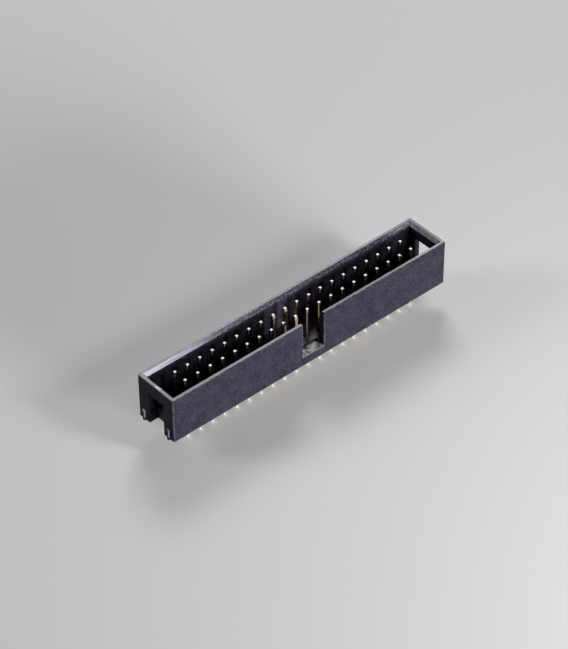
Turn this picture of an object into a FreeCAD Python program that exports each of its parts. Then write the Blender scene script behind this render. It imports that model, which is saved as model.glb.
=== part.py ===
import FreeCAD, Part
import os

# Shrouded two-row pin header for a flat-cable socket: one moulded box that carries square contact pins.
# The origin is the middle of the pin field on the circuit board's surface, where the box sits.
# X runs along the rows, -Y is the side with the key slot, and +Z points out of the box's mouth.
# All lengths are in millimetres.

# Contact grid
pitch = 2.54
pins_per_row = 20
row_count = 2

# Contact pins, cut from square wire with bevelled edges and tapered at both ends
pin_side = 0.64
pin_edge_bevel = 0.07
mating_tip_side = 0.43
tail_tip_side = 0.30
pin_tip_bevel = 0.05
mating_taper = 0.50
tail_taper = 0.45
tail_length = 3.70
mating_tip_below_rim = 0.53

# Coined ears that hold each pin in the floor of the box
ear_crest_length = 0.90
ear_ramp_length = 0.25
ear_stand_out = 0.05
pin_face_clearance = 0.02

# Moulded box
box_height = 8.80
floor_thickness = 2.35
cavity_width = 6.50
cavity_end_margin = 3.95
side_wall = 1.05
end_wall = 1.10
lead_in_width = 0.52
lead_in_depth = 0.60
pin_funnel_depth = 0.12
pin_funnel_slope = 1.0
corner_radius = 0.18
brim_bevel = 0.08

# Key slot in the front wall, with a shelf a little below the floor of the cavity
key_slot_width = 4.45
key_shelf_drop = 0.47
key_shelf_to_pins = 0.90

# Window in each end wall, open to the underside
end_window_width = 3.50
end_window_lintel = 2.40
end_notch_depth = 1.78

# Half-round ribs at the foot of each end wall
rib_radius = 0.30
rib_height = 2.15

# Sizes that follow from the ones above
row_reach = (pins_per_row - 1) * pitch / 2
column_reach = (row_count - 1) * pitch / 2
cavity_length = 2 * (row_reach + cavity_end_margin)
box_length = cavity_length + 2 * end_wall
box_width = cavity_width + 2 * side_wall
half_length = box_length / 2
half_width = box_width / 2
pin_top = box_height - mating_tip_below_rim
key_shelf_z = floor_thickness - key_shelf_drop
key_shelf_back = -(column_reach + pin_side / 2 + key_shelf_to_pins)
end_window_top = box_height - end_window_lintel

# How far a cutting shape runs past the face that it cuts
overshoot = 1.0
same_place = 1e-5


def block(x_low, x_high, y_low, y_high, z_low, z_high):
    """A plain block between two corners."""
    corner = FreeCAD.Vector(x_low, y_low, z_low)
    return Part.makeBox(x_high - x_low, y_high - y_low, z_high - z_low, corner)


def rectangle(x_size, y_size, z):
    """A closed rectangle about the Z axis, at one height."""
    x, y = x_size / 2, y_size / 2
    corners = [(-x, -y), (x, -y), (x, y), (-x, y), (-x, -y)]
    return Part.makePolygon([FreeCAD.Vector(a, b, z) for a, b in corners])


def funnel(x_size, y_size, z_narrow, z_wide, slope):
    """A four-sided funnel whose size grows by twice the slope for each step from narrow to wide."""
    growth = 2 * slope * abs(z_wide - z_narrow)
    narrow = rectangle(x_size, y_size, z_narrow)
    wide = rectangle(x_size + growth, y_size + growth, z_wide)
    return Part.makeLoft([narrow, wide], True, True)


def bevelled_square(side, bevel, z):
    """A closed square about the Z axis with bevelled corners, at one height."""
    half = side / 2
    flat = half - bevel
    corners = [(half, flat), (flat, half), (-flat, half), (-half, flat)]
    corners += [(-a, -b) for a, b in corners]
    return Part.makePolygon([FreeCAD.Vector(a, b, z) for a, b in corners + corners[:1]])


def side_view(stations):
    """A flat outline in the XZ plane from half-widths and heights, the same on both sides of Z."""
    right = [FreeCAD.Vector(half, 0, z) for half, z in stations]
    left = [FreeCAD.Vector(-half, 0, z) for half, z in reversed(stations)]
    return Part.Face(Part.makePolygon(right + left + right[:1]))


def thickened(outline, thickness):
    """An outline in the XZ plane made into a solid of even thickness about that plane."""
    outline.translate(FreeCAD.Vector(0, -thickness / 2, 0))
    return outline.extrude(FreeCAD.Vector(0, thickness, 0))


def ears():
    """The coined ears on two opposite flats of a pin, half-way up the floor of the box."""
    flat = pin_side / 2
    crest = flat + ear_stand_out
    low = (floor_thickness - ear_crest_length) / 2
    high = low + ear_crest_length
    stations = [(flat, low - ear_ramp_length), (crest, low), (crest, high), (flat, high + ear_ramp_length)]
    return thickened(side_view(stations), pin_side - 2 * pin_edge_bevel)


def contact_pin():
    """One pin on the Z axis: a bevelled square wire that tapers at both ends, with its ears."""
    tail_tip = bevelled_square(tail_tip_side, pin_tip_bevel, -tail_length)
    tail_shoulder = bevelled_square(pin_side, pin_edge_bevel, tail_taper - tail_length)
    mating_shoulder = bevelled_square(pin_side, pin_edge_bevel, pin_top - mating_taper)
    mating_tip = bevelled_square(mating_tip_side, pin_tip_bevel, pin_top)
    wire = Part.makeLoft([tail_tip, tail_shoulder, mating_shoulder, mating_tip], True, True)
    return wire.fuse(ears()).removeSplitter()


def pin_places():
    """Pin numbers and places: odd numbers in the front row beside the key slot, even ones behind."""
    places = []
    for column in range(pins_per_row):
        for row in range(row_count):
            number = row_count * column + row + 1
            places.append((number, column * pitch - row_reach, row * pitch - column_reach))
    return places


def pin_holes():
    """The hole for each pin: the ears touch two walls, the flats clear the rest, and a funnel leads in."""
    x_size = pin_side + 2 * ear_stand_out
    y_size = pin_side + 2 * pin_face_clearance
    shaft = block(-x_size / 2, x_size / 2, -y_size / 2, y_size / 2, -overshoot, floor_thickness + overshoot)
    hole = shaft.fuse(funnel(x_size, y_size, pin_funnel_depth, -pin_funnel_depth, pin_funnel_slope))
    return [hole.translated(FreeCAD.Vector(x, y, 0)) for number, x, y in pin_places()]


def cavity():
    """The space inside the walls, with the sloped lead-in at its mouth."""
    x, y = cavity_length / 2, cavity_width / 2
    inside = block(-x, x, -y, y, floor_thickness, box_height + overshoot)
    slope = lead_in_width / lead_in_depth
    mouth = funnel(cavity_length, cavity_width, box_height - lead_in_depth, box_height + overshoot, slope)
    return inside.fuse(mouth)


def key_slot():
    """The slot for the socket's key, cut down the front wall and into the floor as a shelf."""
    x = key_slot_width / 2
    return block(-x, x, -half_width - overshoot, key_shelf_back, key_shelf_z, box_height + overshoot)


def end_windows():
    """The opening in each end wall, which also notches the end of the floor."""
    y = end_window_width / 2
    notch_face = half_length - end_notch_depth
    right = block(notch_face, half_length + overshoot, -y, y, -overshoot, end_window_top)
    left = block(-half_length - overshoot, -notch_face, -y, y, -overshoot, end_window_top)
    return [left, right]


def end_ribs():
    """A half-round rib up the middle of each leg of the end walls, with a top that slopes to the wall."""
    leg_middle = (end_window_width / 2 + half_width) / 2
    shoulder = rib_height - rib_radius
    foot = [(-rib_radius, 0), (rib_radius, 0)]
    gable = foot + [(rib_radius, shoulder), (0, rib_height), (-rib_radius, shoulder)]
    outline = Part.Face(Part.makePolygon([FreeCAD.Vector(x, 0, z) for x, z in gable + gable[:1]]))
    rib = Part.makeCylinder(rib_radius, rib_height).common(thickened(outline, 2 * rib_radius))
    ends = (-half_length, half_length)
    return [rib.translated(FreeCAD.Vector(x, y, 0)) for x in ends for y in (-leg_middle, leg_middle)]


def on_skin(point):
    """True where a point lies on one of the four outside faces of the box."""
    on_end = abs(abs(point.x) - half_length) < same_place
    on_side = abs(abs(point.y) - half_width) < same_place
    return on_end or on_side


def upright_skin_edges(shape):
    """The vertical edges of the outside faces: corners, and the sides of the slot and windows."""
    chosen = []
    for edge in shape.Edges:
        low, high = edge.Vertexes[0].Point, edge.Vertexes[-1].Point
        upright = abs(low.x - high.x) < same_place and abs(low.y - high.y) < same_place
        if upright and on_skin(low):
            chosen.append(edge)
    return chosen


def brim_edges(shape):
    """The level edges round the outside at the top and at the foot of the walls."""
    chosen = []
    for edge in shape.Edges:
        middle = edge.valueAt((edge.FirstParameter + edge.LastParameter) / 2)
        level = all(abs(vertex.Z - middle.z) < same_place for vertex in edge.Vertexes)
        at_end = abs(middle.z) < same_place or abs(middle.z - box_height) < same_place
        if level and at_end and on_skin(middle):
            chosen.append(edge)
    return chosen


def housing():
    """The moulded box with its cavity, key slot, end windows, ribs and pin holes."""
    box = block(-half_length, half_length, -half_width, half_width, 0, box_height)
    box = box.cut([cavity(), key_slot()] + end_windows())
    box = box.makeFillet(corner_radius, upright_skin_edges(box))
    box = box.makeChamfer(brim_bevel, brim_edges(box))
    box = box.fuse(end_ribs())
    return box.cut(pin_holes()).removeSplitter()


def save(shape, node):
    """Check that a piece is one closed solid, and write it under its node's name."""
    if len(shape.Solids) != 1 or not shape.isValid():
        raise ValueError(node + " is not one valid solid")
    shape.Solids[0].exportStep(os.path.join("parts", node + ".step"))
    print(node, "volume", round(shape.Volume, 4), "mm3")


os.makedirs("parts", exist_ok=True)
save(housing(), "housing")
for number, x, y in pin_places():
    save(contact_pin().translated(FreeCAD.Vector(x, y, 0)), "contact_pin_%02d" % number)
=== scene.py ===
import bpy
import math
from mathutils import Matrix, Vector


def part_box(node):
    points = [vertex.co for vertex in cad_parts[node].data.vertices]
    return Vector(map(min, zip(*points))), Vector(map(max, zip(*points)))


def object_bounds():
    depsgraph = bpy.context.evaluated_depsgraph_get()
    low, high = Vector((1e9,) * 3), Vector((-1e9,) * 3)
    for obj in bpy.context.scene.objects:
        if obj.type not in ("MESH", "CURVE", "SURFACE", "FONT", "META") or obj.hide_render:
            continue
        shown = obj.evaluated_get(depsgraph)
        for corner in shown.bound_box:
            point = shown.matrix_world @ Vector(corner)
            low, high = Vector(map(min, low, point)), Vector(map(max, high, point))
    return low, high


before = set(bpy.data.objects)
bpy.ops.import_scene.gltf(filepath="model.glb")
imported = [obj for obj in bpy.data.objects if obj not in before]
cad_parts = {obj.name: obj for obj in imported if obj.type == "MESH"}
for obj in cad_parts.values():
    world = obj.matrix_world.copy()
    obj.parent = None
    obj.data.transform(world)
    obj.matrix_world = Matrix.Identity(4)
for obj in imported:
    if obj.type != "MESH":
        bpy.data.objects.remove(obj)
cad_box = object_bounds()

# All lengths here are in metres, in the part's own frame: X along the rows, -Y the key-slot side, +Z up.
# The camera looks as in the photograph, and is aimed at a point a little left of the key slot.
view_azimuth = math.radians(-40.84)
view_elevation = math.radians(41.38)
view_roll = math.radians(-0.47)
view_distance = 0.4056
view_aim = Vector((-0.00259, -0.00001, 0.00633))
view_lens = 139.9
sensor_width = 36.0

# Places on the housing: its rim with the lead-in inside it, its walls, the floor of its cavity with the
# shelf of the key slot, and the ribs on its ends. The pins taper above their shoulders.
millimetre = 0.001
rim_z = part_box("housing")[1].z
rib_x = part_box("housing")[1].x
wall_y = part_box("housing")[1].y
lead_in_depth = 0.60 * millimetre
rib_radius = 0.30 * millimetre
cavity_floor_z = 2.35 * millimetre
shelf_z = 1.88 * millimetre
pin_shoulder_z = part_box("contact_pin_01")[1].z - 0.50 * millimetre
pin_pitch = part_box("contact_pin_03")[0].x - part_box("contact_pin_01")[0].x
floor_z = cad_box[0].z

# Where marks start and are full along the housing: a streaked painted highlight on the left of the back
# lead-in, whitening at its right, and a front rim that is duller right of the key slot and pale near its
# right end. A scratch crosses the left end's rim.
streaks_start_x = -12.0 * millimetre
streaks_full_x = -20.0 * millimetre
whitening_start_x = 22.0 * millimetre
whitening_full_x = 26.0 * millimetre
dull_start_x = -6.0 * millimetre
dull_full_x = 4.0 * millimetre
dull_fading_x = 20.0 * millimetre
dull_end_x = 24.0 * millimetre
pale_start_x = 19.0 * millimetre
pale_full_x = 23.0 * millimetre
scratch_y = -0.4 * millimetre

# Colours of the moulding. A pair runs from the darker shade to the lighter one.
cloudy_shades = (0.0132, 0.0121, 0.0190, 1), (0.0280, 0.0258, 0.0380, 1)
clouded_shades = (0.016, 0.015, 0.020, 1), (0.052, 0.049, 0.062, 1)
frosted_shades = (0.003, 0.003, 0.005, 1), (0.077, 0.072, 0.100, 1)
# The back lead-in's left end is lightened in streaks as a painted highlight.
highlight_streak_shades = (0.060, 0.058, 0.068, 1), (0.170, 0.165, 0.185, 1)
whitened_shades = (0.040, 0.038, 0.048, 1), (0.200, 0.195, 0.220, 1)
# The rim is lighter, partly scuffs and partly a painted highlight.
scuff_and_sheen_shades = (0.035, 0.033, 0.040, 1), (0.115, 0.113, 0.122, 1)
# The key slot's shelf is blotched lighter and darker as painted highlight and shadow.
shelf_glint_and_shadow_shades = (0.050, 0.049, 0.045, 1), (0.300, 0.295, 0.300, 1)
mottle_grey = (0.058, 0.055, 0.074, 1)
smudge_grey = (0.062, 0.060, 0.074, 1)
# Outward edges of the long walls are lightened as a painted highlight, broken up like wear.
edge_grey = (0.19, 0.185, 0.205, 1)
scratch_grey = (0.48, 0.47, 0.49, 1)
# The ribs' front flanks and tops are painted pale as a glint.
rib_glint_grey = (0.60, 0.59, 0.62, 1)
# Painted shade: the riser behind the shelf is near black.
riser_shade_black = (0.004, 0.004, 0.005, 1)
# Painted shade on faces turned left.
left_face_shade_black = (0.004, 0.003, 0.015, 1)
wall_tint = (0.74, 0.70, 1.0, 1)
worn_tint = (0.885, 0.87, 1.0, 1)

# Colours of the pins, from the shafts to their cut ends.
gold_shades = (0.80, 0.63, 0.38, 1), (0.87, 0.74, 0.50, 1)
taper_gold = (0.66, 0.62, 0.55, 1)
# Paler gold for the tails, and for the front left edges as a painted highlight.
tail_and_edge_highlight_gold = (0.86, 0.80, 0.68, 1)
cut_end_grey = (0.74, 0.735, 0.715, 1)


def make_camera():
    """The photograph's camera, from its bearing, height, roll and distance."""
    back = Vector((math.sin(view_azimuth) * math.cos(view_elevation),
                   -math.cos(view_azimuth) * math.cos(view_elevation),
                   math.sin(view_elevation)))
    level_right = Vector((0, 0, 1)).cross(back).normalized()
    level_up = back.cross(level_right)
    right = level_right * math.cos(view_roll) + level_up * math.sin(view_roll)
    up = level_up * math.cos(view_roll) - level_right * math.sin(view_roll)
    data = bpy.data.cameras.new("camera")
    data.lens = view_lens
    data.sensor_width = sensor_width
    data.clip_start = 0.01
    data.clip_end = 20
    camera = bpy.data.objects.new("camera", data)
    turn = Matrix((right, up, back)).transposed().to_4x4()
    camera.matrix_world = Matrix.Translation(view_aim + back * view_distance) @ turn
    bpy.context.scene.collection.objects.link(camera)
    bpy.context.scene.camera = camera


def make_light(name, bearing, height, distance, width, tall, radiance, colour):
    """A soft light panel at a bearing and height in degrees, aimed at the part, of an even brightness."""
    azimuth, elevation = math.radians(bearing), math.radians(height)
    away = Vector((math.sin(azimuth) * math.cos(elevation),
                   -math.cos(azimuth) * math.cos(elevation),
                   math.sin(elevation)))
    data = bpy.data.lights.new(name, "AREA")
    data.shape = "RECTANGLE"
    data.size = width
    data.size_y = tall
    data.energy = radiance * width * tall * math.pi
    data.color = colour
    light = bpy.data.objects.new(name, data)
    light.location = away * distance
    light.rotation_mode = "QUATERNION"
    light.rotation_quaternion = away.to_track_quat("Z", "Y")
    light.visible_camera = False
    bpy.context.scene.collection.objects.link(light)


def make_floor():
    """A wide plain floor under the tips of the solder tails."""
    reach = 3.0
    corners = [(-reach, -reach), (reach, -reach), (reach, reach), (-reach, reach)]
    mesh = bpy.data.meshes.new("floor")
    mesh.from_pydata([(x, y, floor_z) for x, y in corners], [], [(0, 1, 2, 3)])
    floor = bpy.data.objects.new("floor", mesh)
    bpy.context.scene.collection.objects.link(floor)
    material, shader, node = new_material("floor_paper")
    shader.inputs["Base Color"].default_value = (0.84, 0.84, 0.835, 1)
    shader.inputs["Roughness"].default_value = 0.8
    shader.inputs["Specular IOR Level"].default_value = 0.1
    mesh.materials.append(material)


def new_material(name):
    """A material with its shader, and a maker of nodes that takes socket values or other nodes' outputs."""
    material = bpy.data.materials.new(name)
    material.use_nodes = True
    tree = material.node_tree
    shader = tree.nodes["Principled BSDF"]

    def node(kind, settings=None, **inputs):
        made = tree.nodes.new("ShaderNode" + kind)
        for key, value in (settings or {}).items():
            setattr(made, key, value)
        for key, value in inputs.items():
            socket = made.inputs[int(key[1:])] if key[1:].isdigit() else made.inputs[key.replace("_", " ")]
            if isinstance(value, bpy.types.NodeSocket):
                tree.links.new(value, socket)
            else:
                socket.default_value = value
        return made

    return material, shader, node


def band(node, value, low, high, from_value=0.0, to_value=1.0):
    """A smooth change from one value to another as the input passes from low to high."""
    made = node("MapRange", {"interpolation_type": "SMOOTHSTEP"}, Value=value, From_Min=low, From_Max=high,
                To_Min=from_value, To_Max=to_value)
    return made.outputs["Result"]


def product(node, first, second):
    """Two values multiplied."""
    return node("Math", {"operation": "MULTIPLY"}, i0=first, i1=second).outputs["Value"]


def larger(node, first, second):
    """The larger of two values."""
    return node("Math", {"operation": "MAXIMUM"}, i0=first, i1=second).outputs["Value"]


def size_of(node, value):
    """A value without its sign."""
    return node("Math", {"operation": "ABSOLUTE"}, i0=value).outputs["Value"]


def distance_from(node, value, mark):
    """How far a value is from a mark, to either side."""
    return size_of(node, node("Math", {"operation": "SUBTRACT"}, i0=value, i1=mark).outputs["Value"])


def blend(node, share, below, above):
    """A mix of two colours or colour outputs by a share."""
    return node("Mix", {"data_type": "RGBA"}, i0=share, i6=below, i7=above).outputs[2]


def mix_values(node, share, below, above):
    """A mix of two values by a share."""
    return node("Mix", {"data_type": "FLOAT"}, i0=share, i2=below, i3=above).outputs[0]


def noise(node, place, scale, detail=2.0, roughness=0.6):
    """Cloudy noise from 0 to 1, with blotches about one over the scale wide."""
    return node("TexNoise", Vector=place, Scale=scale, Detail=detail, Roughness=roughness).outputs["Fac"]


def stretched(node, place, shares):
    """A place whose axes are scaled, so that noise on it is drawn out along the axes with small shares."""
    return node("Mapping", Vector=place, Scale=shares).outputs["Vector"]


def axes(node, vector):
    """The X, Y and Z of a vector."""
    return node("SeparateXYZ", Vector=vector).outputs


def near_brim(node, place):
    """The top of the housing, down to just below the lead-in."""
    return band(node, place["Z"], rim_z - 1.5 * lead_in_depth, rim_z - 1.1 * lead_in_depth)


def on_left_end(node, place):
    """The left end wall and its ribs."""
    return band(node, place["X"], 1.2 * millimetre - rib_x, 0.8 * millimetre - rib_x)


def turned_to_minus(node, direction):
    """Surfaces that face the negative side of an axis: left along X, and front along Y."""
    return band(node, direction, -0.50, -0.70)


def lead_in_regions(node, place, facing):
    """The sloped lead-in, its slopes that face front or left, and the two lighter ends of its back slope,
    the left one with a painted highlight.
    """
    sloping = product(node, band(node, facing["Z"], 0.35, 0.55), band(node, facing["Z"], 0.98, 0.85))
    lead_in = product(node, sloping, near_brim(node, place))
    turned_left = turned_to_minus(node, facing["X"])
    turned_front = turned_to_minus(node, facing["Y"])
    at_back = product(node, lead_in, band(node, place["Y"], 2.0 * millimetre, 3.0 * millimetre))
    streaked_end = band(node, place["X"], streaks_start_x, streaks_full_x)
    whitened_end = band(node, place["X"], whitening_start_x, whitening_full_x)
    return {"lead_in": lead_in,
            "frosted_lead_in": product(node, lead_in, larger(node, turned_front, turned_left)),
            "left_lead_in": product(node, at_back, streaked_end),
            "right_lead_in": product(node, at_back, whitened_end)}


def rim_regions(node, place, facing):
    """The level rim, its duller and paler stretches on the right, and the scratch across its left end."""
    rim = product(node, band(node, facing["Z"], 0.85, 0.98), near_brim(node, place))
    on_right_end = band(node, place["X"], rib_x - 1.4 * millimetre, rib_x - 1.0 * millimetre)
    in_front = band(node, place["Y"], -2.0 * millimetre, -3.0 * millimetre)
    right_of_slot = product(node, band(node, place["X"], dull_start_x, dull_full_x),
                            band(node, place["X"], dull_end_x, dull_fading_x))
    duller = larger(node, on_right_end, product(node, in_front, right_of_slot))
    paler = product(node, in_front, band(node, place["X"], pale_start_x, pale_full_x))
    at_scratch = band(node, distance_from(node, place["Y"], scratch_y), 0.8 * millimetre, 0.3 * millimetre)
    return {"rim": rim,
            "dull_rim": product(node, rim, duller),
            "pale_rim": product(node, rim, paler),
            "scratched_rim": product(node, rim, product(node, on_left_end(node, place), at_scratch))}


def floor_regions(node, place, facing):
    """The cavity's floor, the shelf of the key slot, and the short riser between them."""
    level = band(node, facing["Z"], 0.85, 0.98)
    low = band(node, place["Z"], cavity_floor_z + 0.4 * millimetre, cavity_floor_z + 0.1 * millimetre)
    at_shelf = band(node, place["Z"], cavity_floor_z - 0.1 * millimetre, shelf_z + 0.1 * millimetre)
    behind_shelf = band(node, place["Y"], -3.2 * millimetre, -2.8 * millimetre)
    turned_front = band(node, facing["Y"], -0.80, -0.95)
    return {"cavity_floor": product(node, level, low),
            "shelf": product(node, level, at_shelf),
            "riser": product(node, turned_front, product(node, low, behind_shelf))}


def wall_regions(node, place, facing):
    """Faces that are turned left, darkened as painted shade, the rib flanks and tops that get a painted
    glint, and the long walls below the brim.
    """
    by_slot = band(node, size_of(node, place["X"]), 4.0 * millimetre, 3.0 * millimetre)
    left_or_slot = larger(node, on_left_end(node, place), by_slot)
    on_ribs = band(node, size_of(node, place["X"]), rib_x - 0.95 * rib_radius, rib_x - 0.75 * rib_radius)
    above_foot = band(node, place["Z"], 0.3 * millimetre, 0.8 * millimetre)
    flank = larger(node, band(node, facing["Y"], -0.30, -0.75), band(node, facing["Z"], 0.1, 0.4))
    # The painted glint is stronger on the back rib than on the front one.
    rib_glint_strength = band(node, place["Y"], -1.0 * millimetre, 1.0 * millimetre, 0.4, 1.0)
    from_middle = size_of(node, place["Y"])
    on_long_walls = band(node, from_middle, wall_y - 0.4 * millimetre, wall_y - 0.2 * millimetre)
    below_brim = band(node, place["Z"], rim_z - 0.2 * millimetre, rim_z - 0.5 * millimetre)
    return {"left_faces": product(node, turned_to_minus(node, facing["X"]), left_or_slot),
            "ribs": product(node, rib_glint_strength, product(node, on_ribs, product(node, flank, above_foot))),
            "long_walls": product(node, on_long_walls, below_brim)}


def housing_regions(node, coordinates):
    """Shares from 0 to 1 for the places on the housing that look different from its plain walls."""
    place = axes(node, coordinates.outputs["Object"])
    facing = axes(node, coordinates.outputs["Normal"])
    regions = lead_in_regions(node, place, facing)
    regions.update(rim_regions(node, place, facing))
    regions.update(floor_regions(node, place, facing))
    regions.update(wall_regions(node, place, facing))
    return regions


def worn_edges(node, reach):
    """A share that rises to 1 along outward corners, over the given reach."""
    inside_light = node("AmbientOcclusion", {"samples": 16, "inside": True}, Distance=reach)
    return band(node, inside_light.outputs["AO"], 0.95, 0.60)


def wall_colour(node, place, patches):
    """The plain walls: cloudy black with a fine mottle and a few smudges."""
    mottle = noise(node, place, 2600.0, 3.0, 0.75)
    smudges = noise(node, place, 260.0, 3.0)
    colour = blend(node, band(node, patches, 0.30, 0.70), *cloudy_shades)
    colour = blend(node, band(node, mottle, 0.44, 0.68, 0.0, 0.62), colour, mottle_grey)
    return blend(node, band(node, smudges, 0.62, 0.78, 0.0, 0.5), colour, smudge_grey)


def lead_in_colour(node, place, region, colour, speckle):
    """A colour with the lead-in on it: speckled slopes, a streaked painted highlight at the left and
    whitening at the right.
    """
    streaks = noise(node, stretched(node, place, (0.06, 1.0, 1.0)), 4200.0)
    clouded = blend(node, band(node, speckle, 0.40, 0.65), *clouded_shades)
    frosted = blend(node, band(node, speckle, 0.47, 0.58), *frosted_shades)
    highlight_streaked = blend(node, band(node, streaks, 0.35, 0.65), *highlight_streak_shades)
    whitened = blend(node, band(node, speckle, 0.42, 0.58), *whitened_shades)
    colour = blend(node, region["lead_in"], colour, clouded)
    colour = blend(node, region["frosted_lead_in"], colour, frosted)
    # Painted highlight: lighter streaks on the left of the back lead-in.
    colour = blend(node, region["left_lead_in"], colour, highlight_streaked)
    return blend(node, region["right_lead_in"], colour, whitened)


def painted_light_and_wear_colour(node, place, region, colour, scuff):
    """A colour with the rim's scuffs, scratch and pale stretch, and painted light on it: highlights on the
    rim, shelf, edges and ribs, and shade on the riser and left faces.
    """
    blotches = noise(node, place, 900.0, 1.0)
    scuffed_sheen = blend(node, band(node, scuff, 0.45, 0.70), *scuff_and_sheen_shades)
    shelf_glints_and_shadows = blend(node, band(node, blotches, 0.44, 0.56), *shelf_glint_and_shadow_shades)
    edge = product(node, worn_edges(node, 0.32 * millimetre), band(node, scuff, 0.25, 0.55))
    pale = product(node, region["pale_rim"], band(node, scuff, 0.38, 0.66, 0.0, 0.6))
    # The rim: lighter scuffs that also serve as a painted highlight.
    colour = blend(node, region["rim"], colour, scuffed_sheen)
    colour = blend(node, larger(node, region["scratched_rim"], pale), colour, scratch_grey)
    # The shelf: painted highlights and shadows in blotches.
    colour = blend(node, region["shelf"], colour, shelf_glints_and_shadows)
    # Painted shade on the riser.
    colour = blend(node, region["riser"], colour, riser_shade_black)
    # Painted shade on the faces turned left, at the left end and by the key slot.
    colour = blend(node, product(node, region["left_faces"], 0.7), colour, left_face_shade_black)
    # Painted highlight along the outward edges of the long walls.
    colour = blend(node, product(node, edge, region["long_walls"]), colour, edge_grey)
    # Painted glint on the ribs' front flanks and tops.
    return blend(node, region["ribs"], colour, rib_glint_grey)


def plastic_roughness(node, region, patches, scuff):
    """How rough the moulding is: satin walls, a glossier cavity floor, rim and lead-in."""
    rough = mix_values(node, region["cavity_floor"], band(node, patches, 0.3, 0.7, 0.40, 0.48), 0.30)
    rough = mix_values(node, larger(node, region["rim"], region["shelf"]), rough,
                       band(node, scuff, 0.3, 0.7, 0.24, 0.34))
    rough = mix_values(node, region["lead_in"], rough, 0.32)
    return mix_values(node, region["left_lead_in"], rough, 0.22)


def plastic_shine(node, region, shiny, speckle):
    """How strongly the moulding mirrors: weakly on the walls, and less in the pits of the lead-in."""
    pitted = product(node, region["frosted_lead_in"], band(node, speckle, 0.56, 0.44))
    shine = mix_values(node, shiny, mix_values(node, region["left_faces"], 0.12, 0.05), 0.53)
    shine = mix_values(node, region["dull_rim"], shine, 0.38)
    shine = mix_values(node, region["cavity_floor"], shine, mix_values(node, region["shelf"], 0.22, 0.53))
    return mix_values(node, mix_values(node, region["left_lead_in"], pitted, 0.0), shine, 0.28)


def make_plastic():
    """Near-black plastic with a violet cast: satin walls, speckled lead-in, a scuffed rim, and painted
    highlights and shade on the rim, shelf, edges, ribs, riser and left faces.
    """
    material, shader, node = new_material("moulded_plastic")
    tree = material.node_tree
    coordinates = node("TexCoord")
    place = coordinates.outputs["Object"]
    region = housing_regions(node, coordinates)
    patches = noise(node, place, 450.0, 4.0)
    scuff = noise(node, place, 900.0, 3.0, 0.7)
    grain = noise(node, place, 9000.0, 2.0, 0.7)
    speckle = noise(node, stretched(node, place, (0.6, 1.0, 1.0)), 4400.0)
    colour = wall_colour(node, place, patches)
    colour = lead_in_colour(node, place, region, colour, speckle)
    colour = painted_light_and_wear_colour(node, place, region, colour, scuff)
    rim_and_shelf = larger(node, region["rim"], region["shelf"])
    shiny = larger(node, larger(node, rim_and_shelf, region["lead_in"]), region["cavity_floor"])
    rough = plastic_roughness(node, region, patches, scuff)
    shine = plastic_shine(node, region, shiny, speckle)
    bump = node("Bump", Strength=0.25, Distance=0.01 * millimetre, Height=grain)
    tree.links.new(colour, shader.inputs["Base Color"])
    tree.links.new(rough, shader.inputs["Roughness"])
    tree.links.new(shine, shader.inputs["Specular IOR Level"])
    tree.links.new(blend(node, shiny, wall_tint, worn_tint), shader.inputs["Specular Tint"])
    tree.links.new(bump.outputs["Normal"], shader.inputs["Normal"])
    return material


def pin_regions(node, coordinates):
    """Shares from 0 to 1 for the tails, the tapers, their cut ends, and the edges that get a painted
    highlight.
    """
    place = axes(node, coordinates.outputs["Object"])
    facing = axes(node, coordinates.outputs["Normal"])
    on_taper = band(node, place["Z"], pin_shoulder_z, pin_shoulder_z + 0.1 * millimetre)
    edge = product(node, worn_edges(node, 0.18 * millimetre), bright_edges(node, coordinates, place))
    return {"tail": band(node, place["Z"], 0.0, -0.5 * millimetre),
            "taper": on_taper,
            "cut_end": product(node, on_taper, band(node, facing["Z"], 0.8, 0.95)),
            "edge": edge}


def bright_edges(node, coordinates, place):
    """The front left edges that get a painted highlight: near each tip, and fainter all down the pins just
    right of the middle.
    """
    whole_pitch = (pin_pitch,) * 3
    in_grid = node("VectorMath", {"operation": "WRAP"}, i0=coordinates.outputs["Object"], i1=whole_pitch,
                   i2=(0.0, 0.0, 0.0))
    in_cell = axes(node, in_grid.outputs["Vector"])
    from_corner = node("Math", {"operation": "ADD"}, i0=in_cell["X"], i1=in_cell["Y"]).outputs["Value"]
    at_front_left = band(node, from_corner, pin_pitch - 0.25 * millimetre, pin_pitch - 0.40 * millimetre)
    near_tip = band(node, place["Z"], pin_shoulder_z - 0.5 * millimetre, pin_shoulder_z - 0.2 * millimetre)
    from_slot_pin = distance_from(node, place["X"], pin_pitch / 2)
    slot_pin = band(node, from_slot_pin, 0.3 * pin_pitch, 0.2 * pin_pitch)
    return product(node, at_front_left, larger(node, near_tip, product(node, slot_pin, 0.7)))


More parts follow.
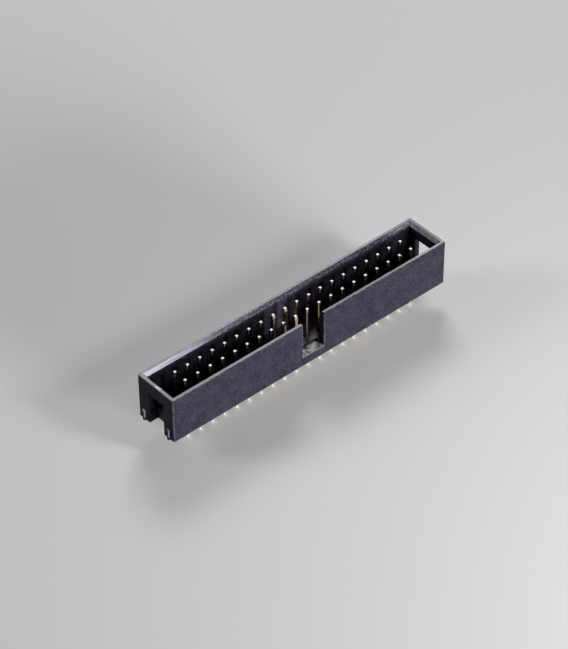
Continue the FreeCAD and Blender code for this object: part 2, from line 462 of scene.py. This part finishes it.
def make_gold():
    """Pale gold flash over drawn wire: bright with faint lines, matt on its cut ends, paler and matt on its
    tails, and on its front left edges as a painted highlight.
    """
    material, shader, node = new_material("gold_flash")
    tree = material.node_tree
    coordinates = node("TexCoord")
    place = coordinates.outputs["Object"]
    region = pin_regions(node, coordinates)
    lines = noise(node, stretched(node, place, (1.0, 1.0, 0.04)), 9000.0, 3.0)
    shade = noise(node, place, 700.0)
    colour = blend(node, band(node, shade, 0.3, 0.7), *gold_shades)
    colour = blend(node, region["taper"], colour, taper_gold)
    # Paler tails, and a painted highlight on the front left edges.
    colour = blend(node, larger(node, region["tail"], region["edge"]), colour, tail_and_edge_highlight_gold)
    colour = blend(node, region["cut_end"], colour, cut_end_grey)
    rough = mix_values(node, region["edge"], band(node, lines, 0.3, 0.7, 0.09, 0.16), 0.78)
    rough = mix_values(node, region["tail"], rough, 0.48)
    rough = mix_values(node, region["cut_end"], rough, 0.60)
    bump = node("Bump", Strength=0.10, Distance=0.003 * millimetre, Height=lines)
    shader.inputs["Metallic"].default_value = 1.0
    tree.links.new(colour, shader.inputs["Base Color"])
    tree.links.new(rough, shader.inputs["Roughness"])
    tree.links.new(bump.outputs["Normal"], shader.inputs["Normal"])
    return material


def dress(node_name, material):
    """Give a CAD node its finished material."""
    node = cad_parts[node_name]
    node.data.materials.clear()
    node.data.materials.append(material)


def make_world():
    """Dim, even surroundings, so that the light panels shape the part."""
    world = bpy.data.worlds.new("surroundings")
    world.use_nodes = True
    background = world.node_tree.nodes["Background"]
    background.inputs["Color"].default_value = (0.80, 0.81, 0.83, 1)
    background.inputs["Strength"].default_value = 0.06
    bpy.context.scene.world = world


def make_lights():
    """A panel behind for the rims, a low one in front for the long wall, and two for the lead-in."""
    make_light("back_softbox", bearing=141, height=41, distance=0.5, width=0.20, tall=0.17, radiance=8.2,
               colour=(1.0, 0.99, 0.98))
    make_light("left_panel", bearing=-127, height=27, distance=0.6, width=0.20, tall=0.16, radiance=7.4,
               colour=(0.94, 0.94, 1.0))
    make_light("front_key", bearing=7, height=7, distance=0.6, width=0.28, tall=0.10, radiance=57.0,
               colour=(0.98, 0.98, 1.0))
    make_light("near_panel", bearing=18, height=34, distance=0.19, width=0.036, tall=0.036, radiance=27.0,
               colour=(1.0, 1.0, 1.0))


bpy.context.scene.view_settings.view_transform = "Standard"
make_camera()
make_world()
make_lights()
make_floor()
plastic = make_plastic()
gold = make_gold()
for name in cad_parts:
    dress(name, plastic if name == "housing" else gold)
